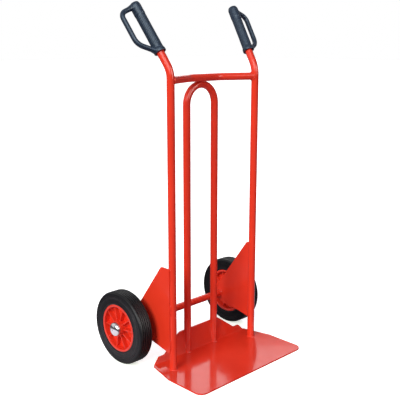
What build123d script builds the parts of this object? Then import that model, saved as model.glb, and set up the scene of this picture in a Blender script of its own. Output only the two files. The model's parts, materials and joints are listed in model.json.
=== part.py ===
"""Hand truck: welded tube frame, folded toe plate and two rubber-tyred wheels.

Millimetres. X runs across the truck, Y runs rearward (the toe plate points to -Y)
and Z is up. The origin is on the floor midway between the two uprights, so the
underside of the toe plate and the treads of both wheels are at Z = 0.
"""
import math
import os

from build123d import *

os.makedirs("parts", exist_ok=True)

SIDES = ((-1, "left"), (1, "right"))

# --- frame tube -------------------------------------------------------------
TUBE_R = 12.5
TUBE_WALL = 2.0
UPRIGHT_X = 192.5
BEND_Z = 981.5
BEND_R = 80.0
HANDLE_DIR = Vector(0.135, 0.675, 1.0)

# --- crossbar and centre loop -----------------------------------------------
CROSSBAR_Z = 953.0
CROSSBAR_BOW = 54.5
CROSSBAR_FLAT = 67.0
CROSSBAR_BEND_R = 60.0
LOOP_X = 64.0
LOOP_Y = 66.5
LOOP_TOUCH = 2 * TUBE_R

# --- toe plate ---------------------------------------------------------------
PLATE_T = 5.0
PLATE_FRONT_Y = -193.0
PLATE_HALF_W = 251.0
PLATE_TAPER_Y = -42.0
PLATE_REAR_HALF_W = 225.0
PLATE_CORNER_R = 27.0
FOLD_Y = 62.0
FOLD_R = 5.0
FLANGE_LEAN = 9.0
FLANGE_TOP_Z = 84.0
FLANGE_TOP_HALF_W = 95.0
FLANGE_STEP_Z = 27.0
FLANGE_STEP_X = 171.0
FLANGE_EAR_X = 197.0
FLANGE_FOOT_X = 219.0
FLANGE_RADII = [6.0, 14.0, 28.0]
TRIM_REACH = 400.0

# --- wheel brackets and axle -------------------------------------------------
AXLE_Y = 172.0
AXLE_Z = 125.0
AXLE_R = 10.0
AXLE_FIT = 0.1
AXLE_END_X = 303.5
AXLE_CHAMFER = 1.0
BRACKET_T = 4.0
BRACKET_FRONT_Y = -2.0
BRACKET_LOW_Z = 64.5
BRACKET_TOP_Y = 38.0
BRACKET_TOP_Z = 356.5
BRACKET_NOSE_R = 28.5
BRACKET_BELLY = ((86.0, 83.0), (128.0, 84.0))

# --- wheel -------------------------------------------------------------------
WHEEL_X = 262.5
TYRE_R = 125.0
TYRE_HALF_W = 26.5
TYRE_SHOULDER_R = 9.0
TREAD_GROOVES = 5
TREAD_PITCH = 7.5
TREAD_DEPTH = 2.5
TREAD_WIDTH = 2.0
RIM_R = 82.0
RIM_HALF_W = 26.0
RIM_SEAT_R = 77.0
RIM_SEAT_HALF_W = 18.0
RIM_LIP = 4.0
RIM_BORE_R = 73.5
WEB_T = 6.0
HUB_R = 26.0
HUB_HALF_W = 31.0
RIB_COUNT = 10
RIB_T = 3.5
RIB_FIRST = 33.0
RIB_HUB_HALF_W = 22.0
RIB_RIM_HALF_W = 17.0
RIB_ROOT = 1.0

# --- roller bearing and axle hardware ----------------------------------------
SLEEVE_OUT_R = 16.0
SLEEVE_IN_R = 14.6
ROLLER_R = 2.0
ROLLER_PITCH_R = 12.3
ROLLER_COUNT = 9
ROLLER_HALF_L = 25.0
CAGE_IN_R = 10.9
CAGE_OUT_R = 13.7
CAGE_HALF_L = 29.0
CAGE_PLAY = 0.3
WASHER_T = 2.0
WASHER_R = 20.5
WASHER_GAP = 0.8
SPACER_R = 14.5
NUT_T = 1.2
NUT_R = 16.5
CAP_R = 24.0
CAP_SKIRT = 3.5
CAP_HEIGHT = 14.5
CAP_WALL = 1.2

# --- grips -------------------------------------------------------------------
GRIP_START = 65.0
GRIP_L = 178.0
GRIP_R = 16.8
GRIP_FIT = 0.05
GRIP_END_WALL = 7.0
GRIP_EDGE_R = 3.5
COLLAR_R = 19.4
COLLAR_L = 9.0
COLLAR_TAPER = 7.0
GUARD_R = 8.25
GUARD_OUT = 63.2
GUARD_TURN = 9.0
GUARD_ROOT_TOP = 9.5
GUARD_TOP = 25.0
GUARD_BOTTOM = 134.0
GUARD_ROOT_D = 9.0
GUARD_TOP_BEND = 24.0
GUARD_BOTTOM_BEND = 38.0

tan_lean = math.tan(math.radians(FLANGE_LEAN))
loop_rise = math.sqrt(LOOP_TOUCH**2 - (LOOP_Y - CROSSBAR_BOW) ** 2)
LOOP_TOP_Z = CROSSBAR_Z - loop_rise


def handle_axis(side):
    """Unit vector up the handle on one side of the truck."""
    return Vector(side * HANDLE_DIR.X, HANDLE_DIR.Y, HANDLE_DIR.Z).normalized()


def handle_point(side, distance):
    """Point on the handle's centreline, measured from the bend's corner."""
    return Vector(side * UPRIGHT_X, 0, BEND_Z) + handle_axis(side) * distance


def tangent_point(point, centre, radius, turn):
    """Where the line from a point touches a circle, on the chosen hand."""
    dx = point[0] - centre[0]
    dy = point[1] - centre[1]
    angle = math.atan2(dy, dx) + turn * math.acos(radius / math.hypot(dx, dy))
    return (centre[0] + radius * math.cos(angle), centre[1] + radius * math.sin(angle))


def wheel_plane(side):
    """Section plane through the axle: local x runs along +X, local y is the radius."""
    return Plane(origin=(side * WHEEL_X, AXLE_Y, AXLE_Z), x_dir=(1, 0, 0), z_dir=(0, -1, 0))


def spoke_plane(side, angle):
    """The wheel's section plane, turned about the axle by an angle in degrees."""
    turn = math.radians(angle)
    normal = (0, -math.sin(turn), math.cos(turn))
    return Plane(origin=(side * WHEEL_X, AXLE_Y, AXLE_Z), x_dir=(1, 0, 0), z_dir=normal)


def axle_plane(side, distance):
    """Plane square to the axle, facing outward, at a distance from the middle."""
    return Plane(origin=(side * distance, AXLE_Y, AXLE_Z), x_dir=(0, 1, 0), z_dir=(side, 0, 0))


AXLE = Axis((0, AXLE_Y, AXLE_Z), (1, 0, 0))

# --- uprights: foot on the plate, bend above the crossbar, end inside the grip --
upright_blanks = []
for side, hand in SIDES:
    tube_end = handle_point(side, GRIP_START + GRIP_L - GRIP_END_WALL)
    foot = (side * UPRIGHT_X, 0, PLATE_T)
    with BuildLine() as route:
        FilletPolyline(foot, handle_point(side, 0), tube_end, radius=BEND_R)
    section = Plane(origin=foot, z_dir=route.line % 0)
    with BuildPart() as blank:
        with BuildSketch(section):
            Circle(TUBE_R)
        sweep(path=route.line)
    upright_blanks.append(blank.part)
    with BuildPart() as upright:
        add(blank.part)
        with BuildSketch(section):
            Circle(TUBE_R - TUBE_WALL)
        sweep(path=route.line, mode=Mode.SUBTRACT)
    upright.part.label = f"{hand}_upright"
    export_step(upright.part, f"parts/{hand}_upright.step")

# --- crossbar: bowed rearward, its ends coped to the uprights -------------------
with BuildPart() as crossbar:
    with BuildLine() as route:
        FilletPolyline(
            (-UPRIGHT_X, 0, CROSSBAR_Z),
            (-CROSSBAR_FLAT, CROSSBAR_BOW, CROSSBAR_Z),
            (CROSSBAR_FLAT, CROSSBAR_BOW, CROSSBAR_Z),
            (UPRIGHT_X, 0, CROSSBAR_Z),
            radius=CROSSBAR_BEND_R,
        )
    with BuildSketch(Plane(origin=route.line @ 0, z_dir=route.line % 0)):
        Circle(TUBE_R)
        Circle(TUBE_R - TUBE_WALL, mode=Mode.SUBTRACT)
    sweep()
    for blank_part in upright_blanks:
        add(blank_part, mode=Mode.SUBTRACT)
crossbar.part.label = "top_crossbar"
export_step(crossbar.part, "parts/top_crossbar.step")

# --- centre loop: inverted U, notched at both feet to sit against the flange ----
with BuildPart() as loop:
    with BuildLine(Plane.XZ.offset(-LOOP_Y)) as route:
        leg = Line((-LOOP_X, PLATE_T), (-LOOP_X, LOOP_TOP_Z - LOOP_X))
        crown = ThreePointArc(leg @ 1, (0, LOOP_TOP_Z), (LOOP_X, LOOP_TOP_Z - LOOP_X))
        Line(crown @ 1, (LOOP_X, PLATE_T))
    with BuildSketch(Plane(origin=route.line @ 0, z_dir=route.line % 0)):
        Circle(TUBE_R)
        Circle(TUBE_R - TUBE_WALL, mode=Mode.SUBTRACT)
    sweep()
    with BuildSketch(Plane.YZ):
        notch_low = (FOLD_Y - PLATE_T * tan_lean, 0)
        notch_high = (FOLD_Y + (FLANGE_TOP_Z - PLATE_T) * tan_lean, FLANGE_TOP_Z)
        Polygon(
            notch_low,
            (LOOP_Y + 2 * TUBE_R, 0),
            (LOOP_Y + 2 * TUBE_R, FLANGE_TOP_Z),
            notch_high,
            align=None,
        )
    extrude(amount=2 * LOOP_X, both=True, mode=Mode.SUBTRACT)
    with BuildSketch(Plane.YZ):
        with Locations((FOLD_Y - FOLD_R, PLATE_T + FOLD_R)):
            Rectangle(2 * FOLD_R, FOLD_R, align=(Align.MIN, Align.MAX))
            Circle(FOLD_R, mode=Mode.SUBTRACT)
    extrude(amount=2 * LOOP_X, both=True, mode=Mode.SUBTRACT)
loop.part.label = "centre_loop"
export_step(loop.part, "parts/centre_loop.step")

# --- toe plate: one folded sheet, trimmed in plan and then across the flange -----
flange_half = [
    (FLANGE_TOP_HALF_W, FLANGE_TOP_Z),
    (FLANGE_STEP_X, FLANGE_STEP_Z),
    (FLANGE_EAR_X, FLANGE_STEP_Z),
    (FLANGE_FOOT_X, PLATE_T),
]
flange_edge = [(-x, z) for x, z in reversed(flange_half)] + flange_half
flange_corners = FLANGE_RADII + FLANGE_RADII[::-1]
flange_rise = FLANGE_TOP_Z + 2 * PLATE_T
flange_slant = FOLD_Y + flange_rise * tan_lean
flange_across = PLATE_T / math.cos(math.radians(FLANGE_LEAN))
with BuildPart() as toe_plate:
    with BuildSketch(Plane.YZ):
        with BuildLine():
            inside = FilletPolyline(
                (PLATE_FRONT_Y, PLATE_T),
                (FOLD_Y, PLATE_T),
                (flange_slant, PLATE_T + flange_rise),
                radius=FOLD_R,
            )
            outside = FilletPolyline(
                (PLATE_FRONT_Y, 0),
                (FOLD_Y + flange_across - PLATE_T * tan_lean, 0),
                (flange_slant + flange_across, PLATE_T + flange_rise),
                radius=FOLD_R + PLATE_T,
            )
            Line(inside @ 0, outside @ 0)
            Line(inside @ 1, outside @ 1)
        make_face()
    extrude(amount=PLATE_HALF_W, both=True)
    with BuildSketch():
        with BuildLine():
            FilletPolyline(
                (-PLATE_REAR_HALF_W, FOLD_Y),
                (-PLATE_HALF_W, PLATE_TAPER_Y),
                (-PLATE_HALF_W, PLATE_FRONT_Y),
                (PLATE_HALF_W, PLATE_FRONT_Y),
                (PLATE_HALF_W, PLATE_TAPER_Y),
                (PLATE_REAR_HALF_W, FOLD_Y),
                radius=PLATE_CORNER_R,
            )
            Polyline(
                (-PLATE_REAR_HALF_W, FOLD_Y),
                (-FLANGE_FOOT_X, FOLD_Y + PLATE_T),
                (-FLANGE_FOOT_X, TRIM_REACH),
                (FLANGE_FOOT_X, TRIM_REACH),
                (FLANGE_FOOT_X, FOLD_Y + PLATE_T),
                (PLATE_REAR_HALF_W, FOLD_Y),
            )
        make_face()
    extrude(amount=TRIM_REACH, both=True, mode=Mode.INTERSECT)
    with BuildSketch(Plane.XZ.offset(FOLD_R - FOLD_Y)):
        with BuildLine():
            FilletPolyline(*flange_edge, radius=flange_corners)
            Polyline(
                flange_edge[0],
                (-PLATE_HALF_W, PLATE_T),
                (-PLATE_HALF_W, TRIM_REACH),
                (PLATE_HALF_W, TRIM_REACH),
                (PLATE_HALF_W, PLATE_T),
                flange_edge[-1],
            )
        make_face()
    extrude(amount=-TRIM_REACH, mode=Mode.SUBTRACT)
toe_plate.part.label = "toe_plate"
export_step(toe_plate.part, "parts/toe_plate.step")

# --- wheel brackets: flat plates against the outside of the uprights ------------
axle_centre = (AXLE_Y, AXLE_Z)
top_corner = (BRACKET_TOP_Y, BRACKET_TOP_Z)
bracket_outline = [
    (BRACKET_FRONT_Y, BRACKET_LOW_Z),
    *BRACKET_BELLY,
    tangent_point(BRACKET_BELLY[-1], axle_centre, BRACKET_NOSE_R, 1),
    axle_centre,
    tangent_point(top_corner, axle_centre, BRACKET_NOSE_R, -1),
    top_corner,
    (BRACKET_FRONT_Y, BRACKET_TOP_Z),
]
for side, hand in SIDES:
    with BuildPart() as bracket:
        with BuildSketch(Plane.YZ.offset(side * (UPRIGHT_X + TUBE_R))):
            Polygon(*bracket_outline, align=None)
            with Locations(axle_centre):
                Circle(BRACKET_NOSE_R)
                Circle(AXLE_R + AXLE_FIT, mode=Mode.SUBTRACT)
        extrude(amount=side * BRACKET_T)
        upper_edges = bracket.edges().filter_by(Axis.X).group_by(Axis.Z)[-1]
        fillet(upper_edges.sort_by(Axis.Y)[-1], radius=TUBE_R)
    bracket.part.label = f"{hand}_wheel_bracket"
    export_step(bracket.part, f"parts/{hand}_wheel_bracket.step")

# --- axle tube between the brackets, and the axle through it ---------------------
with BuildPart() as axle_tube:
    with BuildSketch(Plane.YZ.offset(-UPRIGHT_X - TUBE_R)):
        with Locations(axle_centre):
            Circle(TUBE_R)
            Circle(TUBE_R - TUBE_WALL, mode=Mode.SUBTRACT)
    extrude(amount=2 * (UPRIGHT_X + TUBE_R))
axle_tube.part.label = "axle_tube"
export_step(axle_tube.part, "parts/axle_tube.step")

with BuildPart() as axle:
    with BuildSketch(Plane.YZ.offset(-AXLE_END_X)):
        with Locations(axle_centre):
            Circle(AXLE_R)
    extrude(amount=2 * AXLE_END_X)
    chamfer(axle.edges().filter_by(GeomType.CIRCLE), length=AXLE_CHAMFER)
axle.part.label = "axle"
export_step(axle.part, "parts/axle.step")

# --- wheels ----------------------------------------------------------------------
hub_in_x = WHEEL_X - HUB_HALF_W
hub_out_x = WHEEL_X + HUB_HALF_W
outer_washer_x = hub_out_x + WASHER_GAP
cap_x = outer_washer_x + WASHER_T
dome_h = CAP_HEIGHT - CAP_SKIRT
spacer_end = hub_in_x - WASHER_GAP - WASHER_T
bracket_face = UPRIGHT_X + TUBE_R + BRACKET_T
shoulder_r = TYRE_R - TYRE_SHOULDER_R
crown_in = TYRE_HALF_W - TYRE_SHOULDER_R
for side, hand in SIDES:
    plane = wheel_plane(side)

    # Solid rubber tyre: crowned tread with ring grooves, tongue seated in the rim.
    with BuildPart() as tyre:
        with BuildSketch(plane):
            with BuildLine():
                Polyline(
                    (-TYRE_HALF_W, shoulder_r),
                    (-RIM_HALF_W, RIM_R),
                    (RIM_LIP - RIM_HALF_W, RIM_R),
                    (-RIM_SEAT_HALF_W, RIM_SEAT_R),
                    (RIM_SEAT_HALF_W, RIM_SEAT_R),
                    (RIM_HALF_W - RIM_LIP, RIM_R),
                    (RIM_HALF_W, RIM_R),
                    (TYRE_HALF_W, shoulder_r),
                )
                RadiusArc((TYRE_HALF_W, shoulder_r), (crown_in, TYRE_R), -TYRE_SHOULDER_R)
                Line((crown_in, TYRE_R), (-crown_in, TYRE_R))
                RadiusArc((-crown_in, TYRE_R), (-TYRE_HALF_W, shoulder_r), -TYRE_SHOULDER_R)
            make_face()
            for groove in range(TREAD_GROOVES):
                offset_x = (groove - (TREAD_GROOVES - 1) / 2) * TREAD_PITCH
                with Locations((offset_x, TYRE_R)):
                    Rectangle(TREAD_WIDTH, 2 * TREAD_DEPTH, mode=Mode.SUBTRACT)
        revolve(axis=AXLE)
    tyre.part.label = f"{hand}_tyre"
    export_step(tyre.part, f"parts/{hand}_tyre.step")

    # Moulded rim: barrel, web, hub and ribs on both faces.
    with BuildPart() as rim:
        with BuildSketch(plane):
            Polygon(
                (-RIM_HALF_W, RIM_BORE_R),
                (-RIM_HALF_W, RIM_R),
                (RIM_LIP - RIM_HALF_W, RIM_R),
                (-RIM_SEAT_HALF_W, RIM_SEAT_R),
                (RIM_SEAT_HALF_W, RIM_SEAT_R),
                (RIM_HALF_W - RIM_LIP, RIM_R),
                (RIM_HALF_W, RIM_R),
                (RIM_HALF_W, RIM_BORE_R),
                align=None,
            )
            with Locations((0, (HUB_R + RIM_BORE_R) / 2)):
                Rectangle(WEB_T, RIM_BORE_R - HUB_R + RIM_LIP)
            with Locations((0, (HUB_R + SLEEVE_OUT_R) / 2)):
                Rectangle(2 * HUB_HALF_W, HUB_R - SLEEVE_OUT_R)
        revolve(axis=AXLE)
        for rib in range(RIB_COUNT):
            with BuildSketch(spoke_plane(side, RIB_FIRST + rib * 360 / RIB_COUNT)):
                Polygon(
                    (-RIB_HUB_HALF_W, HUB_R - RIB_ROOT),
                    (RIB_HUB_HALF_W, HUB_R - RIB_ROOT),
                    (RIB_RIM_HALF_W, RIM_BORE_R + RIB_ROOT),
                    (-RIB_RIM_HALF_W, RIM_BORE_R + RIB_ROOT),
                    align=None,
                )
            extrude(amount=RIB_T / 2, both=True)
    rim.part.label = f"{hand}_rim"
    export_step(rim.part, f"parts/{hand}_rim.step")

    # Steel liner pressed into the hub: the rollers' outer race.
    with BuildPart() as sleeve:
        with BuildSketch(axle_plane(side, hub_in_x)):
            Circle(SLEEVE_OUT_R)
            Circle(SLEEVE_IN_R, mode=Mode.SUBTRACT)
        extrude(amount=2 * HUB_HALF_W)
    sleeve.part.label = f"{hand}_bearing_sleeve"
    export_step(sleeve.part, f"parts/{hand}_bearing_sleeve.step")

    # Roller cage with one window for each roller.
    with BuildPart() as cage:
        with BuildSketch(axle_plane(side, WHEEL_X - CAGE_HALF_L)):
            Circle(CAGE_OUT_R)
            Circle(CAGE_IN_R, mode=Mode.SUBTRACT)
        extrude(amount=2 * CAGE_HALF_L)
        with BuildSketch(axle_plane(side, WHEEL_X - ROLLER_HALF_L - CAGE_PLAY)):
            with PolarLocations(ROLLER_PITCH_R, ROLLER_COUNT):
                Circle(ROLLER_R + CAGE_PLAY)
        extrude(amount=2 * (ROLLER_HALF_L + CAGE_PLAY), mode=Mode.SUBTRACT)
    cage.part.label = f"{hand}_roller_cage"
    export_step(cage.part, f"parts/{hand}_roller_cage.step")

    with BuildPart() as rollers:
        with BuildSketch(axle_plane(side, WHEEL_X - ROLLER_HALF_L)):
            with PolarLocations(ROLLER_PITCH_R, ROLLER_COUNT):
                Circle(ROLLER_R)
        extrude(amount=2 * ROLLER_HALF_L)
    rollers.part.label = f"{hand}_rollers"
    export_step(rollers.part, f"parts/{hand}_rollers.step")

    # Spacer and thrust washers that hold the hub between bracket and cap.
    with BuildPart() as spacer:
        with BuildSketch(axle_plane(side, bracket_face)):
            Circle(SPACER_R)
            Circle(AXLE_R + AXLE_FIT, mode=Mode.SUBTRACT)
        extrude(amount=spacer_end - bracket_face)
    spacer.part.label = f"{hand}_spacer"
    export_step(spacer.part, f"parts/{hand}_spacer.step")

    for place, washer_x in (("inner", spacer_end), ("outer", outer_washer_x)):
        with BuildPart() as washer:
            with BuildSketch(axle_plane(side, washer_x)):
                Circle(WASHER_R)
                Circle(AXLE_R + AXLE_FIT, mode=Mode.SUBTRACT)
            extrude(amount=WASHER_T)
        washer.part.label = f"{hand}_{place}_washer"
        export_step(washer.part, f"parts/{hand}_{place}_washer.step")

    # Spring-steel push nut on the axle's end, under the cap.
    with BuildPart() as push_nut:
        with BuildSketch(axle_plane(side, cap_x)):
            Circle(NUT_R)
            Circle(AXLE_R, mode=Mode.SUBTRACT)
        extrude(amount=NUT_T)
        with BuildSketch(axle_plane(side, cap_x + NUT_T)):
            Circle(AXLE_R + 2 * NUT_T)
            Circle(AXLE_R, mode=Mode.SUBTRACT)
        extrude(amount=NUT_T)
    push_nut.part.label = f"{hand}_push_nut"
    export_step(push_nut.part, f"parts/{hand}_push_nut.step")

    # Domed cap: a short skirt and an elliptical dome, hollow inside.
    cap_origin = (side * cap_x, AXLE_Y, AXLE_Z)
    with BuildPart() as cap:
        with BuildSketch(Plane(origin=cap_origin, x_dir=(side, 0, 0), z_dir=(0, -side, 0))):
            with Locations((CAP_SKIRT, 0)):
                Ellipse(dome_h, CAP_R)
                Ellipse(dome_h - CAP_WALL, CAP_R - CAP_WALL, mode=Mode.SUBTRACT)
                Rectangle(dome_h, 2 * CAP_R, align=(Align.MAX, Align.CENTER), mode=Mode.SUBTRACT)
                Rectangle(dome_h, CAP_R, align=(Align.MIN, Align.MAX), mode=Mode.SUBTRACT)
            with Locations((0, CAP_R)):
                Rectangle(CAP_SKIRT, CAP_WALL, align=(Align.MIN, Align.MAX))
        revolve(axis=AXLE)
    cap.part.label = f"{hand}_hub_cap"
    export_step(cap.part, f"parts/{hand}_hub_cap.step")

# --- grips: sleeve over the tube, flared collar and a D-shaped knuckle guard -----
for side, hand in SIDES:
    up = handle_axis(side)
    outward = Vector(side, 0, 0)
    outward = (outward - up * outward.dot(up)).normalized()
    rearward = up.cross(outward) * side
    turn = math.radians(GUARD_TURN)
    guard_dir = outward * math.cos(turn) + rearward * math.sin(turn)
    base = handle_point(side, GRIP_START)
    grip_plane = Plane(origin=base, x_dir=guard_dir, z_dir=up)
    guard_plane = Plane(origin=base, x_dir=guard_dir, z_dir=guard_dir.cross(up))
    upper_root = GRIP_L - GUARD_ROOT_TOP - GUARD_ROOT_D * (GUARD_TOP - GUARD_ROOT_TOP) / GUARD_OUT
    lower_root = GUARD_ROOT_D * (GRIP_L - GUARD_BOTTOM) / GUARD_OUT
    with BuildPart() as grip:
        with BuildSketch(grip_plane):
            Circle(GRIP_R)
        extrude(amount=GRIP_L)
        fillet(grip.faces().sort_by(Axis.Z)[-1].edges(), radius=GRIP_EDGE_R)
        with BuildSketch(grip_plane):
            Circle(COLLAR_R)
        extrude(amount=COLLAR_L)
        with BuildSketch(grip_plane.offset(COLLAR_L)):
            Circle(COLLAR_R)
        with BuildSketch(grip_plane.offset(COLLAR_L + COLLAR_TAPER)):
            Circle(GRIP_R)
        loft()
        with BuildLine(guard_plane) as guard:
            FilletPolyline(
                (GUARD_ROOT_D, upper_root),
                (GUARD_OUT, GRIP_L - GUARD_TOP),
                (GUARD_OUT, GRIP_L - GUARD_BOTTOM),
                (GUARD_ROOT_D, lower_root),
                radius=[GUARD_TOP_BEND, GUARD_BOTTOM_BEND],
            )
        with BuildSketch(Plane(origin=guard.line @ 0, z_dir=guard.line % 0)):
            Circle(GUARD_R)
        sweep()
        with BuildSketch(grip_plane.offset(-COLLAR_R)):
            Circle(TUBE_R + GRIP_FIT)
        extrude(amount=COLLAR_R + GRIP_L - GRIP_END_WALL, mode=Mode.SUBTRACT)
    grip.part.label = f"{hand}_grip"
    export_step(grip.part, f"parts/{hand}_grip.step")
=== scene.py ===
"""Looks of the hand truck: camera, studio, finishes and the detailed visible pieces.

Metres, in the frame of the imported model: X across the truck, Y rearward, Z up.
"""
import json
import math

import bmesh
import bpy
from mathutils import Matrix, Vector, noise


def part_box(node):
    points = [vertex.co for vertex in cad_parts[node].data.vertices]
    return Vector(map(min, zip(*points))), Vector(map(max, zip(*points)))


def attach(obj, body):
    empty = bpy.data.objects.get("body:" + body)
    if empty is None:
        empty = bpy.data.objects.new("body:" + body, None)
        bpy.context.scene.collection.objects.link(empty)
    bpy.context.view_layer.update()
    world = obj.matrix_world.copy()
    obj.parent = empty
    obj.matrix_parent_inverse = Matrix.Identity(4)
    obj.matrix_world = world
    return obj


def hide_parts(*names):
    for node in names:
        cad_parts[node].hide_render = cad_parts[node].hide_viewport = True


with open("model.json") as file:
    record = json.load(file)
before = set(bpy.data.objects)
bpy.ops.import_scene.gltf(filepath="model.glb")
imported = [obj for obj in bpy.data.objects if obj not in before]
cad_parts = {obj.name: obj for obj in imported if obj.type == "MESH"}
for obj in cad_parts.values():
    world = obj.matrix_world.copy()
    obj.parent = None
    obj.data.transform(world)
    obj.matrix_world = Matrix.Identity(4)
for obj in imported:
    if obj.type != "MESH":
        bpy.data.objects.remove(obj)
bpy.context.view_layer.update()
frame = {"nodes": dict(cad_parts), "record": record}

MM = 0.001
SIDES = ((-1, "left"), (1, "right"))


# ----------------------------------------------------------------------------
# Camera, floor and light
# ----------------------------------------------------------------------------
CAMERA_AT = (-1.6228, -1.5984, 1.0738)
CAMERA_PITCH = 12.926
CAMERA_YAW = -44.202
CAMERA_LENS = 62.93
FLOOR_HALF = 30


def make_camera():
    """The camera solved from the photograph."""
    data = bpy.data.cameras.new("camera")
    data.sensor_width = 36.0
    data.lens = CAMERA_LENS
    camera = bpy.data.objects.new("camera", data)
    camera.location = CAMERA_AT
    camera.rotation_euler = (math.radians(90 - CAMERA_PITCH), 0, math.radians(CAMERA_YAW))
    bpy.context.scene.collection.objects.link(camera)
    bpy.context.scene.camera = camera


def make_area_light(name, place, target, size, watts):
    """A softbox at a place, aimed at a target."""
    data = bpy.data.lights.new(name, "AREA")
    data.shape = "RECTANGLE"
    data.size, data.size_y = size
    data.energy = watts
    light = bpy.data.objects.new(name, data)
    light.location = place
    light.rotation_mode = "QUATERNION"
    light.rotation_quaternion = (Vector(target) - Vector(place)).to_track_quat("-Z", "Y")
    bpy.context.scene.collection.objects.link(light)


def make_sun(name, source, strength, spread, colour=(1.0, 1.0, 1.0)):
    """A distant softbox: even light from one side, with soft shadows and no mirror image of its own."""
    data = bpy.data.lights.new(name, "SUN")
    data.energy = strength
    data.angle = math.radians(spread)
    data.color = colour
    light = bpy.data.objects.new(name, data)
    light.rotation_mode = "QUATERNION"
    light.rotation_quaternion = (-Vector(source)).to_track_quat("-Z", "Y")
    light.visible_glossy = False
    bpy.context.scene.collection.objects.link(light)


def facing(tree, direction, start, end, low, high):
    """A value that rises from low to high as a world direction turns towards another."""
    coords = tree.nodes.new("ShaderNodeTexCoord")
    dot = tree.nodes.new("ShaderNodeVectorMath")
    dot.operation = "DOT_PRODUCT"
    dot.inputs[1].default_value = Vector(direction).normalized()
    tree.links.new(coords.outputs["Generated"], dot.inputs[0])
    ranged = tree.nodes.new("ShaderNodeMapRange")
    ranged.interpolation_type = "SMOOTHSTEP"
    for socket, value in (("From Min", start), ("From Max", end), ("To Min", low), ("To Max", high)):
        ranged.inputs[socket].default_value = value
    tree.links.new(dot.outputs["Value"], ranged.inputs["Value"])
    return ranged.outputs["Result"]


# The key light comes from here; its mirror image is the last glow of GLOSS.
KEY_FROM = (-0.88, -0.22, 0.50)

# Where the studio glows: direction, where the glow starts and is full, its dim and bright
# values, and its colour. FILL lights the truck and GLOSS is what its glossy surfaces mirror.
FILL = (
    ((0.75, 0.65, 0.2), 0.0, 0.95, 0.06, 0.40, (1.0, 0.78, 1.18)),
    ((-0.5, 0.1, 1.0), 0.1, 0.9, 0.12, 0.45, (1.0, 0.80, 1.20)),
)
GLOSS = (
    ((0.75, 0.65, 0.2), 0.0, 0.95, 0.02, 0.26, (1.0, 1.0, 1.0)),
    ((-0.4, -0.05, 1.0), 0.45, 0.95, 0.05, 0.45, (0.97, 0.98, 1.0)),
    ((-0.5, -0.62, 0.55), 0.86, 0.97, 0.0, 4.4, (0.94, 0.98, 1.0)),
    ((0.32, -0.88, 0.33), 0.935, 0.985, 0.0, 7.0, (1.0, 0.97, 0.92)),
    ((-0.6, 0.75, 0.3), 0.80, 0.97, 0.0, 0.55, (0.97, 0.98, 1.0)),
    (KEY_FROM, 0.93, 0.98, 0.0, 2.7, (1.0, 0.98, 0.93)),
)


def glow(tree, lobes):
    """The sum of soft glows on the sky, as one shader."""
    total = None
    for direction, start, end, low, high, colour in lobes:
        lobe = tree.nodes.new("ShaderNodeBackground")
        lobe.inputs["Color"].default_value = (*colour, 1)
        tree.links.new(facing(tree, direction, start, end, low, high), lobe.inputs["Strength"])
        if total is None:
            total = lobe.outputs["Background"]
            continue
        both = tree.nodes.new("ShaderNodeAddShader")
        tree.links.new(total, both.inputs[0])
        tree.links.new(lobe.outputs["Background"], both.inputs[1])
        total = both.outputs["Shader"]
    return total


def by_ray(tree, first, **others):
    """One shader for most rays, and another for each kind of ray that is named."""
    path = tree.nodes.new("ShaderNodeLightPath")
    seen = first
    for ray, shader in others.items():
        mix = tree.nodes.new("ShaderNodeMixShader")
        tree.links.new(path.outputs[f"Is {ray.capitalize()} Ray"], mix.inputs["Fac"])
        tree.links.new(seen, mix.inputs[1])
        tree.links.new(shader, mix.inputs[2])
        seen = mix.outputs["Shader"]
    return seen


def make_world():
    """A white backdrop for the camera, and the studio's glows for all other rays."""
    world = bpy.data.worlds.new("studio")
    world.use_nodes = True
    tree = world.node_tree
    tree.nodes.clear()
    output = tree.nodes.new("ShaderNodeOutputWorld")
    backdrop = tree.nodes.new("ShaderNodeBackground")
    backdrop.inputs["Color"].default_value = (1, 1, 1, 1)
    white = backdrop.outputs["Background"]
    seen = by_ray(tree, glow(tree, FILL), glossy=glow(tree, GLOSS), camera=white)
    tree.links.new(seen, output.inputs["Surface"])
    bpy.context.scene.world = world


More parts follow.
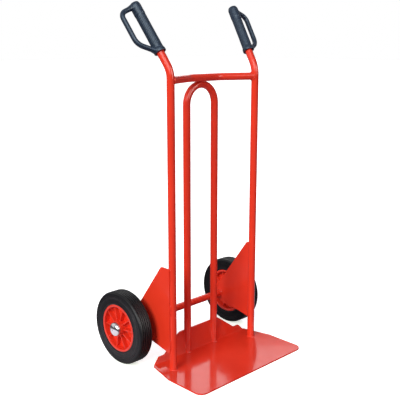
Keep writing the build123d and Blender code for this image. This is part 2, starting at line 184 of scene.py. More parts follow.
# ----------------------------------------------------------------------------
# Finishes
# ----------------------------------------------------------------------------
class Finish:
    """A procedural material: constants on the shader, patterns from object coordinates."""

    def __init__(self, name, **sockets):
        self.material = bpy.data.materials.new(name)
        self.material.use_nodes = True
        self.tree = self.material.node_tree
        self.shader = self.tree.nodes["Principled BSDF"]
        self.coords = self.tree.nodes.new("ShaderNodeTexCoord").outputs["Object"]
        self.normal = None
        for socket, value in sockets.items():
            self.shader.inputs[socket.replace("_", " ")].default_value = value

    def clouds(self, scale, detail=3.0):
        """Soft noise, at so many patches to the metre."""
        node = self.tree.nodes.new("ShaderNodeTexNoise")
        node.inputs["Scale"].default_value = scale
        node.inputs["Detail"].default_value = detail
        self.tree.links.new(self.coords, node.inputs["Vector"])
        return node.outputs["Fac"]

    def cells(self, scale):
        """Pebbled grain, at so many cells to the metre."""
        node = self.tree.nodes.new("ShaderNodeTexVoronoi")
        node.inputs["Scale"].default_value = scale
        self.tree.links.new(self.coords, node.inputs["Vector"])
        return node.outputs["Distance"]

    def ranged(self, value, low, high, start=0.3, end=0.7):
        """A pattern value mapped from start..end onto low..high."""
        node = self.tree.nodes.new("ShaderNodeMapRange")
        node.interpolation_type = "SMOOTHSTEP"
        node.inputs["From Min"].default_value = start
        node.inputs["From Max"].default_value = end
        node.inputs["To Min"].default_value = low
        node.inputs["To Max"].default_value = high
        self.tree.links.new(value, node.inputs["Value"])
        return node.outputs["Result"]

    def tinted(self, value, dark, light):
        """A pattern value as a colour between dark and light."""
        node = self.tree.nodes.new("ShaderNodeValToRGB")
        node.color_ramp.elements[0].position = 0.3
        node.color_ramp.elements[0].color = (*dark, 1)
        node.color_ramp.elements[1].position = 0.7
        node.color_ramp.elements[1].color = (*light, 1)
        self.tree.links.new(value, node.inputs["Fac"])
        return node.outputs["Color"]

    def drives(self, socket, value):
        """Connects a pattern to an input of the shader."""
        self.tree.links.new(value, self.shader.inputs[socket])

    def bump(self, height, strength, depth):
        """Adds one layer of relief, depth in metres, over the layers before it."""
        node = self.tree.nodes.new("ShaderNodeBump")
        node.inputs["Strength"].default_value = strength
        node.inputs["Distance"].default_value = depth
        self.tree.links.new(height, node.inputs["Height"])
        if self.normal is not None:
            self.tree.links.new(self.normal, node.inputs["Normal"])
        self.normal = node.outputs["Normal"]
        self.tree.links.new(self.normal, self.shader.inputs["Normal"])


def powder_coat():
    """Orange-red gloss powder coat with orange peel and faint unevenness in its gloss."""
    finish = Finish("frame_paint", IOR=1.42, Coat_Weight=0.15, Coat_Roughness=0.04)
    reds = finish.tinted(finish.clouds(7.0), (0.68, 0.034, 0.014), (0.75, 0.042, 0.017))
    finish.drives("Base Color", reds)
    finish.drives("Roughness", finish.ranged(finish.clouds(35.0, 4.0), 0.11, 0.18))
    finish.bump(finish.clouds(480.0, 2.0), 0.012, 0.0002)
    finish.bump(finish.clouds(14.0, 1.0), 0.02, 0.0010)
    return finish.material


def moulded_red():
    """Red moulded plastic with a soft sheen."""
    finish = Finish("rim_plastic", IOR=1.46, Coat_Weight=0.2, Coat_Roughness=0.15)
    reds = finish.tinted(finish.clouds(22.0), (0.68, 0.030, 0.012), (0.76, 0.038, 0.016))
    finish.drives("Base Color", reds)
    finish.drives("Roughness", finish.ranged(finish.clouds(60.0, 4.0), 0.28, 0.42))
    finish.bump(finish.clouds(900.0, 2.0), 0.12, 0.00008)
    return finish.material


def rubber():
    """Black rubber with a fine grain and faint scuffs."""
    finish = Finish("tyre_rubber", IOR=1.42)
    blacks = finish.tinted(finish.clouds(26.0, 5.0), (0.0018, 0.0018, 0.0025), (0.0046, 0.0046, 0.0060))
    finish.drives("Base Color", blacks)
    finish.drives("Roughness", finish.ranged(finish.clouds(80.0, 5.0), 0.36, 0.48))
    finish.bump(finish.clouds(1400.0, 3.0), 0.25, 0.00012)
    finish.bump(finish.clouds(160.0, 3.0), 0.10, 0.0003)
    return finish.material


def grip_plastic():
    """Dark slate plastic with a pebbled grain."""
    finish = Finish("grip_plastic", IOR=1.55, Specular_Tint=(0.80, 0.92, 1.0, 1))
    slates = finish.tinted(finish.clouds(300.0, 4.0), (0.005, 0.0105, 0.020), (0.019, 0.032, 0.058))
    finish.drives("Base Color", slates)
    finish.drives("Roughness", finish.ranged(finish.clouds(240.0, 4.0), 0.32, 0.42))
    finish.bump(finish.cells(700.0), 0.12, 0.0003)
    finish.bump(finish.clouds(90.0, 3.0), 0.06, 0.0006)
    return finish.material


def metal(name, dark, light, smooth, rough, grain):
    """Plated or ground metal, with a faint drawn grain."""
    finish = Finish(name, Metallic=1.0)
    finish.drives("Base Color", finish.tinted(finish.clouds(70.0, 4.0), dark, light))
    finish.drives("Roughness", finish.ranged(finish.clouds(220.0, 4.0), smooth, rough))
    finish.bump(finish.clouds(grain, 2.0), 0.08, 0.00008)
    return finish.material


def nylon():
    """Undyed nylon of the roller cages."""
    finish = Finish("cage_plastic", IOR=1.53)
    creams = finish.tinted(finish.clouds(120.0), (0.66, 0.62, 0.52), (0.78, 0.75, 0.66))
    finish.drives("Base Color", creams)
    finish.drives("Roughness", finish.ranged(finish.clouds(200.0), 0.35, 0.5))
    finish.bump(finish.clouds(900.0), 0.1, 0.0001)
    return finish.material


# Painted pools of light on the floor beside the wheels, which the hub caps mirror, with painted shade
# beyond: their middle, the distances where they start to fade and have faded, and the greys inside and
# outside.
POOL_X, POOL_Y = 0.55, 0.25
POOL_FULL, POOL_GONE = 0.20, 0.42
PAINTED_POOL_GREY, PAINTED_SHADE_GREY = 0.85, 0.10


def floor_paper():
    """White sweep for the camera, a dimmer one for bounced light, and painted pools of light with
    painted shade beyond in reflections.
    """
    finish = Finish("floor_paper", IOR=1.3, Emission_Color=(1.0, 1.06, 0.94, 1), Emission_Strength=0.62)
    whites = finish.tinted(finish.clouds(0.8), (0.93, 0.93, 0.93), (0.95, 0.95, 0.95))
    finish.drives("Base Color", whites)
    finish.drives("Roughness", finish.ranged(finish.clouds(6.0), 0.8, 0.9))
    tree = finish.tree
    away = finish.coords
    unused = (0, 0, 0)
    steps = (
        ("SUBTRACT", (0, POOL_Y, 0)),
        ("ABSOLUTE", unused),
        ("SUBTRACT", (POOL_X, 0, 0)),
        ("LENGTH", unused),
    )
    for operation, other in steps:
        node = tree.nodes.new("ShaderNodeVectorMath")
        node.operation = operation
        node.inputs[1].default_value = other
        tree.links.new(away, node.inputs[0])
        away = node.outputs["Value" if operation == "LENGTH" else "Vector"]
    bounce = tree.nodes.new("ShaderNodeBsdfDiffuse")
    bounce.inputs["Color"].default_value = (0.51, 0.44, 0.54, 1)
    mirrored = tree.nodes.new("ShaderNodeBsdfDiffuse")
    # Painted light and shade: in reflections the floor is light grey inside the pools and dark grey
    # beyond.
    painted_pool_mask = finish.ranged(away, PAINTED_POOL_GREY, PAINTED_SHADE_GREY, POOL_FULL, POOL_GONE)
    tree.links.new(painted_pool_mask, mirrored.inputs["Color"])
    sweep = finish.shader.outputs["BSDF"]
    seen = by_ray(tree, bounce.outputs["BSDF"], glossy=mirrored.outputs["BSDF"], camera=sweep)
    tree.links.new(seen, tree.nodes["Material Output"].inputs["Surface"])
    return finish.material


# ----------------------------------------------------------------------------
# Mesh helpers
# ----------------------------------------------------------------------------
def mesh_piece(name, vertices, faces, body, slot, nodes=()):
    """One smooth closed piece that rides on a body, wears a slot and stands for CAD nodes."""
    shape = bmesh.new()
    made = [shape.verts.new(v) for v in vertices]
    for face in faces:
        shape.faces.new([made[i] for i in face])
    finished_piece(name, shape, body, slot, nodes)


def finished_piece(name, shape, body, slot, nodes=(), sharp=None):
    """A bmesh as a shaded piece; sharp is the angle in degrees above which its edges stay crisp."""
    bmesh.ops.recalc_face_normals(shape, faces=shape.faces)
    mesh = bpy.data.meshes.new(name)
    shape.to_mesh(mesh)
    shape.free()
    mesh.shade_smooth()
    if sharp:
        mesh.set_sharp_from_angle(angle=math.radians(sharp))
    mesh.materials.append(FINISH[slot])
    piece = bpy.data.objects.new(name, mesh)
    bpy.context.scene.collection.objects.link(piece)
    even = piece.modifiers.new("even_normals", "WEIGHTED_NORMAL")
    even.keep_sharp = True
    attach(piece, body)
    if nodes:
        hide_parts(*nodes)


def round_corners(points, radii, closed=False, steps=5):
    """A polyline with each corner replaced by an arc of its own radius."""
    made = []
    for i, corner in enumerate(points):
        radius = radii[i]
        if radius == 0 or (not closed and i in (0, len(points) - 1)):
            made.append(corner.copy())
            continue
        back = (points[i - 1] - corner).normalized()
        ahead = (points[(i + 1) % len(points)] - corner).normalized()
        half = back.angle(ahead) / 2
        reach = radius / math.tan(half)
        centre = corner + (back + ahead).normalized() * (radius / math.sin(half))
        start = corner + back * reach - centre
        end = corner + ahead * reach - centre
        turn = start.angle(end)
        for step in range(steps + 1):
            share = step / steps
            arm = start * math.sin((1 - share) * turn) + end * math.sin(share * turn)
            made.append(centre + arm / math.sin(turn))
    return made


def profile(*corners):
    """A closed outline from (along, radius, rounding) corners, in millimetres."""
    points = [Vector((x, r)) for x, r, _ in corners]
    return round_corners(points, [c[2] for c in corners], closed=True, steps=3)


def lathe(outline, centre, segments, flip=1):
    """Vertices and faces of a closed outline turned about the axle's direction."""
    vertices = []
    for k in range(segments):
        angle = 2 * math.pi * k / segments
        for x, r in outline:
            across = (flip * x * MM, r * MM * math.cos(angle), r * MM * math.sin(angle))
            vertices.append(centre + Vector(across))
    return vertices, wrapped_faces(segments, len(outline))


def wrapped_faces(columns, rows, columns_close=True):
    """Faces between neighbouring columns of vertices whose rows run round in a loop."""
    faces = []
    for c in range(columns if columns_close else columns - 1):
        for r in range(rows):
            d, s = (c + 1) % columns, (r + 1) % rows
            faces.append((c * rows + r, d * rows + r, d * rows + s, c * rows + s))
    return faces


def tube(points, radii, segments, closed=False, squash=1.0, side=None):
    """Vertices and faces of a rod with a radius at each point; squash widens it along side."""
    count = len(points)
    rings = []
    across = None
    for i, point in enumerate(points):
        if closed:
            ahead = (points[(i + 1) % count] - points[i - 1]).normalized()
        else:
            ahead = (points[min(i + 1, count - 1)] - points[max(i - 1, 0)]).normalized()
        if across is None:
            across = Vector(side) if side else ahead.orthogonal()
        across = (across - ahead * across.dot(ahead)).normalized()
        other = ahead.cross(across)
        for k in range(segments):
            angle = 2 * math.pi * k / segments
            arm = across * math.cos(angle) * squash + other * math.sin(angle)
            rings.append(point + arm * radii[i])
    faces = wrapped_faces(count, segments, columns_close=closed)
    if not closed:
        faces.append(tuple(range(segments)))
        faces.append(tuple(range((count - 1) * segments, count * segments)))
    return rings, faces


def spaced(points, step, closed=False):
    """The same line with its points a set distance apart."""
    line = points + points[:1] if closed else points
    lengths = [0.0]
    for a, b in zip(line, line[1:]):
        lengths.append(lengths[-1] + (b - a).length)
    count = max(2, round(lengths[-1] / step))
    made = []
    k = 0
    for i in range(count if closed else count + 1):
        want = lengths[-1] * i / count
        while k < len(lengths) - 2 and lengths[k + 1] < want:
            k += 1
        share = (want - lengths[k]) / max(lengths[k + 1] - lengths[k], 1e-12)
        made.append(line[k].lerp(line[k + 1], share))
    return made


# ----------------------------------------------------------------------------
# Wheels
# ----------------------------------------------------------------------------
# Radii, and distances from the wheel's mid-plane, in millimetres.
HUB_FACE, HUB_R, HUB_BORE_R, HUB_EDGE_R = 31.0, 26.0, 16.0, 1.0
HUB_MID_R, BORE_CHAMFER = 20.0, 0.8
RIM_FACE, RIM_R, RIM_BORE_R = 26.0, 82.0, 73.5
LIP_ROOT, LIP_HEIGHT = 2.6, 2.9
SEAT_R, SEAT_HALF_W = 77.0, 18.0
BEAD_W = 22.0
WEB_HALF = 3.0
ROOT_FILLET = 2.0

RIB_COUNT = 10
RIB_FIRST = 33.0
RIB_HALF, RIB_EDGE_R, RIB_FLAT = 1.75, 0.8, 0.9
RIB_DRAFT = 0.25
RIB_AT_HUB, RIB_AT_RIM = 22.0, 17.0
BAY_STEPS = 7
WEB_STEPS = 9
QUARTER = (0, 30, 60, 90)

TYRE_SEGMENTS = 200
TREAD_R, SHOULDER_R, TYRE_HALF_W = 125.0, 9.0, 26.5
GROOVES, GROOVE_PITCH, GROOVE_DEPTH = 5, 7.5, 2.9
GROOVE_HALF, GROOVE_FLOOR_HALF, GROOVE_CLEARANCE = 2.0, 0.8, 0.6
# Across a groove: (offset from its middle, depth, rounding).
GROOVE_CORNERS = (
    (GROOVE_HALF, 0.0, 0.7),
    (GROOVE_FLOOR_HALF, GROOVE_DEPTH, 0.3),
    (-GROOVE_FLOOR_HALF, GROOVE_DEPTH, 0.3),
    (-GROOVE_HALF, 0.0, 0.7),
)
# Bead, bulge and two fine rings of the sidewall: (distance from mid-plane, radius, rounding).
SIDEWALL = (
    (25.2, RIM_R - 0.1, 0.5),
    (26.4, 83.6, 0.8),
    (26.9, 86.5, 1.4),
    (25.9, 90.0, 2.5),
    (25.6, 101.0, 6.0),
    (26.3, 105.5, 0.8),
    (25.5, 106.3, 0.3),
    (25.5, 107.2, 0.3),
    (26.4, 108.0, 0.8),
    (26.4, 111.3, 0.3),
    (25.6, 111.9, 0.3),
    (25.6, 112.8, 0.3),
    (TYRE_HALF_W, 113.4, 0.3),
)


def tread_radius(x):
    """Outer radius of the tyre at a distance from its mid-plane."""
    beyond = max(0.0, abs(x) - (TYRE_HALF_W - SHOULDER_R))
    return TREAD_R - SHOULDER_R + math.sqrt(max(0.0, SHOULDER_R**2 - beyond**2))


def tyre_outline():
    """Seat in the rim, sidewalls, rounded shoulders and the grooved tread."""
    half = [(SEAT_HALF_W, SEAT_R, 0.6), (BEAD_W, RIM_R - 0.1, 0.6), *SIDEWALL]
    shoulder = []
    for degree in range(0, 91, 6):
        x = TYRE_HALF_W - SHOULDER_R + SHOULDER_R * math.cos(math.radians(degree))
        shoulder.append((x, tread_radius(x), 0.0))
    grooves = []
    for groove in range(GROOVES):
        middle = ((GROOVES - 1) / 2 - groove) * GROOVE_PITCH
        for offset, depth, rounding in GROOVE_CORNERS:
            x = middle + offset
            grooves.append((x, tread_radius(x) - depth, rounding))
    outermost = grooves[0][0] + GROOVE_CLEARANCE
    half += [corner for corner in shoulder if corner[0] > outermost]
    mirrored = [(-x, r, rounding) for x, r, rounding in reversed(half)]
    return profile(*half, *grooves, *mirrored)


def make_tyre(hand, centre):
    """Solid tyre, turned as one closed skin."""
    vertices, faces = lathe(tyre_outline(), centre, TYRE_SEGMENTS)
    name, body = f"{hand}_tyre_tread", f"{hand}_wheel"
    mesh_piece(name, vertices, faces, body, "tyre_rubber", [f"{hand}_tyre"])


def rib_section():
    """Half a rib, cut across: (offset from its middle, whether on the rib, height over crest or web)."""
    section = [(0.0, True, 0.0), (RIB_FLAT, True, 0.0)]
    for degree in QUARTER:
        turn = math.radians(degree)
        edge = RIB_HALF - RIB_EDGE_R + RIB_EDGE_R * math.sin(turn)
        section.append((edge, True, RIB_EDGE_R * math.cos(turn) - RIB_EDGE_R))
    for degree in QUARTER:
        turn = math.radians(degree)
        foot = RIB_HALF + RIB_DRAFT + ROOT_FILLET * (1 - math.cos(turn))
        section.append((foot, False, ROOT_FILLET * (1 - math.sin(turn))))
    return section


def rib_columns():
    """Columns round one rib and the bay after it: (offset, share of the bay, on the rib, height)."""
    section = rib_section()
    foot = section[-1][0]
    columns = [(-offset, 0, on_rib, height) for offset, on_rib, height in reversed(section[1:])]
    columns += [(offset, 0, on_rib, height) for offset, on_rib, height in section]
    columns += [(foot, k / BAY_STEPS, False, 0.0) for k in range(1, BAY_STEPS)]
    return columns


def rim_rows(at_hub, at_rim):
    """One face of the rim from the bore to the lip: (distance from mid-plane, radius)."""
    rows = [(HUB_FACE - BORE_CHAMFER, HUB_BORE_R), (HUB_FACE, HUB_BORE_R + BORE_CHAMFER)]
    rows.append((HUB_FACE, HUB_MID_R))
    wall = HUB_FACE - HUB_EDGE_R
    for degree in QUARTER:
        turn = math.radians(degree)
        inward = HUB_EDGE_R - HUB_EDGE_R * math.sin(turn)
        rows.append((wall + HUB_EDGE_R * math.cos(turn), HUB_R - inward))
    for share in (0.33, 0.66, 1.0):
        rows.append((wall + (at_hub + ROOT_FILLET - wall) * share, HUB_R))
    for degree in QUARTER[1:]:
        turn = math.radians(degree)
        x = at_hub + ROOT_FILLET * (1 - math.sin(turn))
        rows.append((x, HUB_R + ROOT_FILLET * (1 - math.cos(turn))))
    inner, outer = HUB_R + ROOT_FILLET, RIM_BORE_R - ROOT_FILLET
    for step in range(1, WEB_STEPS):
        share = step / WEB_STEPS
        rows.append((at_hub + (at_rim - at_hub) * share, inner + (outer - inner) * share))
    for degree in QUARTER:
        turn = math.radians(degree)
        rows.append((at_rim + ROOT_FILLET * (1 - math.cos(turn)), outer + ROOT_FILLET * math.sin(turn)))
    lip_x, lip_half = RIM_FACE - LIP_ROOT, (RIM_R - RIM_BORE_R) / 2
    base = at_rim + ROOT_FILLET
    rows += [(base + (lip_x - base) * share, RIM_BORE_R) for share in (0.5, 1.0)]
    for degree in range(15, 180, 15):
        turn = math.radians(degree)
        rows.append((lip_x + LIP_HEIGHT * math.sin(turn), RIM_BORE_R + lip_half * (1 - math.cos(turn))))
    rows += [(BEAD_W, RIM_R), (SEAT_HALF_W, SEAT_R)]
    return rows


def make_rim(hand, centre):
    """Moulded rim: hub, ribs on both faces, web and barrel in one skin, with fillets."""
    vertices = []
    columns = rib_columns()
    row_count = 0
    pitch = 2 * math.pi / RIB_COUNT
    for rib in range(RIB_COUNT):
        middle = math.radians(RIB_FIRST) + rib * pitch
        for offset, share, on_rib, height in columns:
            at_hub = height + (RIB_AT_HUB if on_rib else WEB_HALF)
            at_rim = height + (RIB_AT_RIM if on_rib else WEB_HALF)
            face = rim_rows(at_hub, at_rim)
            loop = face + [(-x, r) for x, r in reversed(face)]
            row_count = len(loop)
            for x, r in loop:
                swing = math.asin(offset / min(max(r, HUB_R), RIM_BORE_R))
                swing += (pitch - 2 * swing) * share
                angle = middle + swing
                spot = (x * MM, r * MM * math.cos(angle), r * MM * math.sin(angle))
                vertices.append(centre + Vector(spot))
    faces = wrapped_faces(RIB_COUNT * len(columns), row_count)
    name, body = f"{hand}_rim_moulding", f"{hand}_wheel"
    mesh_piece(name, vertices, faces, body, "rim_plastic", [f"{hand}_rim"])


CAP_SKIRT, CAP_WALL = 3.2, 1.0
CAP_DOME_SHARE = 0.975
CAP_STEPS = 12
CAP_SEGMENTS = 96
# The dome's tip stays open by this much, so that no two of its points fall together.
CAP_TIP_R = 0.02
# Rolled edge of the skirt: (distance from the cap's foot, how far inside its radius).
CAP_ROLL = ((0.15, 1.2), (0.0, 0.5), (0.25, 0.1), (0.8, 0.0), (1.4, 0.1), (1.8, 0.45))


def dome(height, radius):
    """Quarter ellipse from the skirt to the tip of the cap."""
    points = []
    for step in range(CAP_STEPS + 1):
        turn = math.pi / 2 * step / CAP_STEPS
        points.append(Vector((CAP_SKIRT + height * math.sin(turn), radius * math.cos(turn))))
    points[-1].y = CAP_TIP_R
    return points


def make_hub_cap(side, hand):
    """Pressed cap: rolled skirt, domed crown, hollow inside."""
    low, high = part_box(f"{hand}_hub_cap")
    base = Vector((low.x if side > 0 else high.x, (low.y + high.y) / 2, (low.z + high.z) / 2))
    radius = (high.y - low.y) / 2 / MM
    height = (high.x - low.x) / MM - CAP_SKIRT
    dome_r = radius * CAP_DOME_SHARE
    outer = dome(height, dome_r)
    inner = dome(height - CAP_WALL, dome_r - CAP_WALL)
    rolled = [Vector((x, radius - inset)) for x, inset in CAP_ROLL]
    outline = rolled + outer + inner[::-1] + [Vector((0.6, dome_r - CAP_WALL))]
    vertices, faces = lathe(outline, base, CAP_SEGMENTS, flip=side)
    name = f"{hand}_domed_cap"
    mesh_piece(name, vertices, faces, "frame", "cap_chrome", [f"{hand}_hub_cap"])


# ----------------------------------------------------------------------------
# Grips
# ----------------------------------------------------------------------------
HANDLE_DIR = Vector((0.135, 0.675, 1.0))
BEND_Z = 981.5
GRIP_START, GRIP_L, GRIP_R = 65.0, 178.0, 16.8
COLLAR_R = 19.4
BORE_R, PLUG_L = 12.7, 7.0
TUBE_R = 12.5

# Knuckle guard: how far it stands out, where its corners and upper root lie below the
# grip's top, the radii of its rod and bends, and its turn to the rear in degrees.
GUARD_OUT, GUARD_TOP, GUARD_BOTTOM = 63.2, 25.0, 134.0
GUARD_ROOT_TOP, GUARD_ROOT_R = 9.5, 14.2
GUARD_R, GUARD_FLARE, GUARD_FLARE_L = 7.95, 2.2, 9.0
GUARD_BENDS = (24.0, 38.0)
GUARD_WIDER = 1.05
GUARD_TURN = 9.0
GUARD_STEP = 2.5

NUB_AT, NUB_R = 78.0, 2.6
FLUTES, FLUTE_DEPTH = 26, 0.5
PALM_LOW, PALM_HIGH = 24.0, 132.0
FLUTED_R = (14.0, GRIP_R + 1.4)
GRIP_SEGMENTS, GUARD_SEGMENTS = 64, 28
GRIP_VOXEL = 0.9


def handle_frame(side, hand):
    """Base of the grip, the direction up the handle, and the way its guard stands out."""
    low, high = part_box(f"{hand}_wheel_bracket")
    upright_x = (low.x if side > 0 else high.x) - side * TUBE_R * MM
    up = Vector((side * HANDLE_DIR.x, HANDLE_DIR.y, HANDLE_DIR.z)).normalized()
    outward = Vector((side, 0, 0))
    outward = (outward - up * outward.dot(up)).normalized()
    rearward = up.cross(outward) * side
    turn = math.radians(GUARD_TURN)
    guard = outward * math.cos(turn) + rearward * math.sin(turn)
    base = Vector((upright_x, 0, BEND_Z * MM)) + up * GRIP_START * MM
    return base, up, guard


def grip_outline():
    """Half section of the sleeve, from bore to top: (radius, height, rounding)."""
    return [
        (BORE_R, 0.9, 0.0),
        (BORE_R, 5.5, 0.5),
        (16.0, 1.4, 0.5),
        (17.2, 0.0, 0.5),
        (COLLAR_R, 0.8, 1.0),
        (COLLAR_R, 8.5, 3.0),
        (GRIP_R + 0.2, 17.0, 9.0),
        (GRIP_R - 0.2, 60.0, 40.0),
        (GRIP_R - 0.1, 134.0, 1.0),
        (GRIP_R + 0.7, 136.0, 1.0),
        (GRIP_R + 0.6, 168.0, 4.0),
        (GRIP_R - 2.3, GRIP_L - 0.6, 3.5),
        (6.0, GRIP_L, 8.0),
    ]


def add_sleeve(shape, base, up, guard, lateral):
    """Turns the sleeve's section about the handle, with a closed floor in its bore."""
    section = grip_outline()
    corners = [Vector((r, t)) for r, t, _ in section]
    line = round_corners(corners, [rounding for _, _, rounding in section])
    line[0] = Vector((BORE_R, GRIP_L - PLUG_L))
    rings = []
    for k in range(GRIP_SEGMENTS):
        angle = 2 * math.pi * k / GRIP_SEGMENTS
        arm = guard * math.cos(angle) + lateral * math.sin(angle)
        rings.append([shape.verts.new(base + arm * r * MM + up * t * MM) for r, t in line])
    top = shape.verts.new(base + up * GRIP_L * MM)
    floor = shape.verts.new(base + up * (GRIP_L - PLUG_L) * MM)
    for k in range(GRIP_SEGMENTS):
        here, there = rings[k], rings[(k + 1) % GRIP_SEGMENTS]
        for a in range(len(here) - 1):
            shape.faces.new((here[a], there[a], there[a + 1], here[a + 1]))
        shape.faces.new((here[-1], there[-1], top))
        shape.faces.new((here[0], floor, there[0]))


def add_guard(shape, base, up, guard, lateral):
    """Sweeps the knuckle guard's rod, flared at both roots."""

    def placed(out, along):
        return base + guard * out * MM + up * along * MM

    slope = (GUARD_TOP - GUARD_ROOT_TOP) / GUARD_OUT
    route = [
        placed(GUARD_ROOT_R, GRIP_L - GUARD_ROOT_TOP - GUARD_ROOT_R * slope),
        placed(GUARD_OUT, GRIP_L - GUARD_TOP),
        placed(GUARD_OUT, GRIP_L - GUARD_BOTTOM),
        placed(GUARD_ROOT_R, GUARD_ROOT_R * (GRIP_L - GUARD_BOTTOM) / GUARD_OUT),
    ]
    bends = [0, *(radius * MM for radius in GUARD_BENDS), 0]
    path = spaced(round_corners(route, bends, steps=12), GUARD_STEP * MM)
    radii = []
    for i in range(len(path)):
        from_end = min(i, len(path) - 1 - i) * GUARD_STEP
        flare = GUARD_FLARE * math.exp(-((from_end / GUARD_FLARE_L) ** 2))
        radii.append((GUARD_R + flare) * MM)
    vertices, faces = tube(path, radii, segments=GUARD_SEGMENTS, squash=GUARD_WIDER, side=lateral)
    made = [shape.verts.new(v) for v in vertices]
    for face in faces:
        shape.faces.new([made[i] for i in face])


def blended(shape, name):
    """The bmesh's overlapping solids as one soft-cornered skin."""
    bmesh.ops.recalc_face_normals(shape, faces=shape.faces)
    rough = bpy.data.meshes.new(name)
    shape.to_mesh(rough)
    shape.free()
    source = bpy.data.objects.new(name, rough)
    bpy.context.scene.collection.objects.link(source)
    remesh = source.modifiers.new("one_skin", "REMESH")
    remesh.mode = "VOXEL"
    remesh.voxel_size = GRIP_VOXEL * MM
    smooth = source.modifiers.new("soften", "SMOOTH")
    smooth.iterations = 4
    smooth.factor = 0.5
    skin = bpy.data.meshes.new_from_object(source.evaluated_get(bpy.context.evaluated_depsgraph_get()))
    bpy.data.objects.remove(source)
    return skin


def flute_grip(skin, base, up, guard, lateral):
    """Presses shallow lengthwise flutes into the palm area of a grip."""
    for vertex in skin.vertices:
        arm = vertex.co - base
        along = arm.dot(up) / MM
        x, y = arm.dot(guard), arm.dot(lateral)
        radius = math.hypot(x, y) / MM
        if FLUTED_R[0] < radius < FLUTED_R[1] and PALM_LOW < along < PALM_HIGH:
            fade = min(1.0, (along - PALM_LOW) / 6.0, (PALM_HIGH - along) / 4.0)
            press = FLUTE_DEPTH * MM * fade * (0.5 - 0.5 * math.cos(FLUTES * math.atan2(y, x)))
            vertex.co -= (guard * x + lateral * y).normalized() * press


def make_grip(side, hand):
    """Sleeve, collar and knuckle guard blended into one moulding."""
    base, up, guard = handle_frame(side, hand)
    lateral = up.cross(guard)
    shape = bmesh.new()
    add_sleeve(shape, base, up, guard, lateral)
    add_guard(shape, base, up, guard, lateral)
    nub = Matrix.Translation(base + guard * (0.4 - GRIP_R) * MM + up * NUB_AT * MM)
    bmesh.ops.create_uvsphere(shape, u_segments=16, v_segments=10, radius=NUB_R * MM, matrix=nub)
    skin = blended(shape, f"{hand}_grip_rough")
    flute_grip(skin, base, up, guard, lateral)
    shape = bmesh.new()
    shape.from_mesh(skin)
    bpy.data.meshes.remove(skin)
    finished_piece(f"{hand}_grip_moulding", shape, "frame", "grip_plastic", [f"{hand}_grip"])


# ----------------------------------------------------------------------------
# Sheet metal and welds, in millimetres
# ----------------------------------------------------------------------------
PLATE_ROUND, BRACKET_ROUND = 0.8, 0.5
PLATE_T = 5.0
FOLD_Y, FLANGE_LEAN = 62.0, 9.0
CROSSBAR_FLAT = 67.0

FOOT_BEAD_R, SIDE_BEAD_R, BRACKET_BEAD_R, CROWN_BEAD_R = 2.3, 2.2, 2.1, 2.6
BEAD_GAP = 0.4
BEAD_STEP, RIPPLE_PITCH = 0.9, 3.6
RING_STEP = 6.0
SADDLE_POINTS = 72
LOOP_FOOT_ARC = (205.0, 335.0)
# Beads up the wheel brackets: (name, y, numbers), and the height each number starts at.
BRACKET_BEADS = (("front", -3.9, (1, 2, 3)), ("rear", 4.6, (2, 3)))
BRACKET_BEAD_Z = {1: 76.0, 2: 196.0, 3: 318.0}
CROWN_BEADS = (("front", -4.6), ("rear", 4.6))
# Points along the beads on the flange, the brackets and the crown.
FLANGE_BEAD_Z = range(14, 84, 5)
BRACKET_BEAD_RISE = range(0, 37, 3)
CROWN_BEAD_X = range(-14, 15, 2)


def soften_edges(node, name, width):
    """A copy of a painted CAD node as a new piece, with its cut edges rounded over."""
    shape = bmesh.new()
    shape.from_mesh(frame["nodes"][node].data)
    bmesh.ops.remove_doubles(shape, verts=shape.verts, dist=1e-6)
    flat = math.radians(0.3)
    bmesh.ops.dissolve_limit(shape, angle_limit=flat, verts=shape.verts, edges=shape.edges)
    cut = math.radians(35)
    edges = [e for e in shape.edges if len(e.link_faces) == 2 and e.calc_face_angle() > cut]
    bmesh.ops.bevel(
        shape, geom=edges, offset=width * MM, segments=3, profile=0.5, affect="EDGES", clamp_overlap=True
    )
    finished_piece(name, shape, "frame", "frame_paint", [node], sharp=40)


def weld_bead(name, points, radius, closed=False, seed=0):
    """A rippled weld bead laid along a line, painted with the frame."""
    path = spaced([Vector(p) for p in points], BEAD_STEP * MM, closed)
    radii = []
    for i, point in enumerate(path):
        ripple = 0.10 * math.sin(i * BEAD_STEP * 2 * math.pi / RIPPLE_PITCH)
        uneven = 0.14 * noise.noise(point * 160 + Vector((seed, 0, 0)))
        end = 1.0 if closed else min(1.0, 0.35 + 0.22 * min(i, len(path) - 1 - i))
        radii.append(radius * MM * (1 + ripple + uneven) * end)
    vertices, faces = tube(path, radii, segments=12, closed=closed)
    mesh_piece(name, vertices, faces, "frame", "frame_paint")


def ring(centre, radius, axis=(0, 0, 1), arc=(0.0, 360.0)):
    """Points on a circle, or on an arc of degrees, about an axis."""
    turn = Vector((0, 0, 1)).rotation_difference(Vector(axis)).to_matrix()
    start, sweep = arc[0], arc[1] - arc[0]
    count = round(sweep / RING_STEP)
    last = 0 if sweep == 360.0 else 1
    points = []
    for k in range(count + last):
        angle = math.radians(start + sweep * k / count)
        spoke = Vector((radius * math.cos(angle), radius * math.sin(angle), 0))
        points.append((Vector(centre) + turn @ spoke) * MM)
    return points


def loop_centre_line():
    """Centre of the loop's tube: x of its right leg, y, and z of its crown."""
    low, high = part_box("centre_loop")
    return high.x / MM - TUBE_R, (low.y + high.y) / 2 / MM, high.z / MM - TUBE_R


def bar_centre_line():
    """Centre of the crossbar's tube: y of its bow, and z."""
    low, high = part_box("top_crossbar")
    return high.y / MM - TUBE_R, (low.z + high.z) / 2 / MM


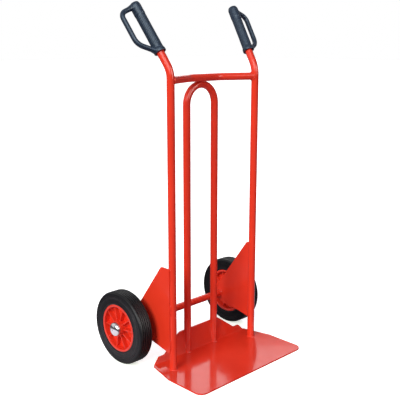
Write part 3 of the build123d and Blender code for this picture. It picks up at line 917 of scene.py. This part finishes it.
def weld_loop_leg(side, hand):
    """Beads up the plate's flange on both sides of a leg, and round the leg's foot."""
    leg_x, leg_y, _ = loop_centre_line()
    lean = math.tan(math.radians(FLANGE_LEAN))
    lines = []
    for edge in (-1, 1):
        line = []
        for z in FLANGE_BEAD_Z:
            face_y = FOLD_Y + (z - PLATE_T) * lean
            half = math.sqrt(TUBE_R**2 - (face_y - leg_y) ** 2)
            x = side * leg_x + edge * (half + 0.3)
            line.append(Vector((x, face_y - BEAD_GAP, z)) * MM)
        lines.append(line)
    weld_bead(f"{hand}_loop_outer_weld", lines[(side + 1) // 2], SIDE_BEAD_R, seed=3 + side)
    weld_bead(f"{hand}_loop_inner_weld", lines[(1 - side) // 2], SIDE_BEAD_R, seed=6 + side)
    foot = ring((side * leg_x, leg_y, PLATE_T + BEAD_GAP), TUBE_R + BEAD_GAP, arc=LOOP_FOOT_ARC)
    weld_bead(f"{hand}_loop_foot_weld", foot, FOOT_BEAD_R, seed=9 + side)


def weld_crossbar(side, hand, upright_x):
    """Saddle-shaped bead round the end of the crossbar, where it meets an upright."""
    bow_y, bar_z = bar_centre_line()
    bar_along = Vector((CROSSBAR_FLAT - upright_x, bow_y, 0)).normalized()
    along = Vector((side * bar_along.x, bar_along.y, 0))
    level = Vector((-along.y, along.x, 0))
    saddle = []
    for k in range(SADDLE_POINTS):
        angle = 2 * math.pi * k / SADDLE_POINTS
        across = TUBE_R * math.cos(angle)
        rise = (TUBE_R + BEAD_GAP) * math.sin(angle)
        reach = math.sqrt((TUBE_R + 0.8) ** 2 - across**2) + 0.6
        spot = Vector((side * upright_x, 0, bar_z + rise))
        saddle.append((spot + along * reach + level * across * 1.03) * MM)
    weld_bead(f"{hand}_crossbar_weld", saddle, SIDE_BEAD_R, closed=True, seed=12 + side)


def weld_bracket(side, hand, bracket_x):
    """Short beads that hold a wheel bracket to its upright."""
    x = side * (bracket_x - 0.9)
    for place, y, numbers in BRACKET_BEADS:
        for number in numbers:
            low = BRACKET_BEAD_Z[number]
            line = [Vector((x, y, low + rise)) * MM for rise in BRACKET_BEAD_RISE]
            name = f"{hand}_bracket_{place}_weld_{number}"
            weld_bead(name, line, BRACKET_BEAD_R, seed=15 + side * (number - 1))


def weld_crown():
    """Two beads across the contact between the loop's crown and the crossbar."""
    leg_x, loop_y, crown_z = loop_centre_line()
    bow_y, bar_z = bar_centre_line()
    gap = Vector((0, loop_y - bow_y, crown_z - bar_z)).normalized()
    across = Vector((0, -gap.z, gap.y))
    contact = Vector((0, (loop_y + bow_y) / 2, (crown_z + bar_z) / 2))
    for place, offset in CROWN_BEADS:
        line = []
        for x in CROWN_BEAD_X:
            drop = x * x / (4 * leg_x)
            line.append((contact + across * offset + Vector((x, 0, -drop))) * MM)
        weld_bead(f"loop_crown_{place}_weld", line, CROWN_BEAD_R, seed=25 + offset)


def weld_frame():
    """Every joint of the frame that a welder would run a bead along."""
    low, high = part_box("axle_tube")
    axle = (low + high) / 2 / MM
    bracket_low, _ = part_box("right_wheel_bracket")
    bracket_x = bracket_low.x / MM
    upright_x = bracket_x - TUBE_R
    for side, hand in SIDES:
        foot = ring((side * upright_x, 0, PLATE_T + BEAD_GAP), TUBE_R + BEAD_GAP)
        weld_bead(f"{hand}_upright_foot_weld", foot, FOOT_BEAD_R, closed=True, seed=side)
        weld_loop_leg(side, hand)
        weld_crossbar(side, hand, upright_x)
        weld_bracket(side, hand, bracket_x)
        end = ring((side * (bracket_x - 0.5), axle.y, axle.z), TUBE_R + BEAD_GAP, axis=(1, 0, 0))
        weld_bead(f"{hand}_axle_tube_weld", end, SIDE_BEAD_R, closed=True, seed=20 + side)
    weld_crown()


# ----------------------------------------------------------------------------
# Assembly
# ----------------------------------------------------------------------------
FINISH = {
    "frame_paint": powder_coat(),
    "rim_plastic": moulded_red(),
    "tyre_rubber": rubber(),
    "grip_plastic": grip_plastic(),
    "plated_steel": metal("plated_steel", (0.52, 0.53, 0.55), (0.66, 0.66, 0.64), 0.24, 0.38, 500.0),
    "cap_chrome": metal("cap_chrome", (0.86, 0.87, 0.88), (0.92, 0.93, 0.93), 0.06, 0.12, 300.0),
    "bearing_steel": metal("bearing_steel", (0.50, 0.50, 0.51), (0.60, 0.60, 0.60), 0.16, 0.28, 700.0),
    "cage_plastic": nylon(),
}

for part in frame["record"]["subparts"]:
    node = frame["nodes"][part["node"]]
    node.data.materials.clear()
    node.data.materials.append(FINISH[part["material_slot"]])

for side, hand in SIDES:
    low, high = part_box(f"{hand}_tyre")
    wheel_centre = (low + high) / 2
    make_tyre(hand, wheel_centre)
    make_rim(hand, wheel_centre)
    make_hub_cap(side, hand)
    make_grip(side, hand)
    soften_edges(f"{hand}_wheel_bracket", f"{hand}_bracket_plate", BRACKET_ROUND)
soften_edges("toe_plate", "toe_plate_sheet", PLATE_ROUND)
weld_frame()

make_camera()
make_world()
make_sun("key", KEY_FROM, 2.75, 32.0, (1.0, 1.07, 0.88))
make_sun("front", (-0.1, -0.9, 0.35), 0.42, 70.0)
make_area_light("rear_fill", (1.8, 2.0, 2.0), (0, 0, 0.5), (2.0, 1.4), 15.0)

floor_mesh = bpy.data.meshes.new("floor")
floor_corners = [(x * FLOOR_HALF, y * FLOOR_HALF, 0) for x, y in ((-1, -1), (1, -1), (1, 1), (-1, 1))]
floor_mesh.from_pydata(floor_corners, [], [(0, 1, 2, 3)])
floor_mesh.materials.append(floor_paper())
floor = bpy.data.objects.new("floor", floor_mesh)
bpy.context.scene.collection.objects.link(floor)

bpy.context.scene.view_settings.view_transform = "Standard"
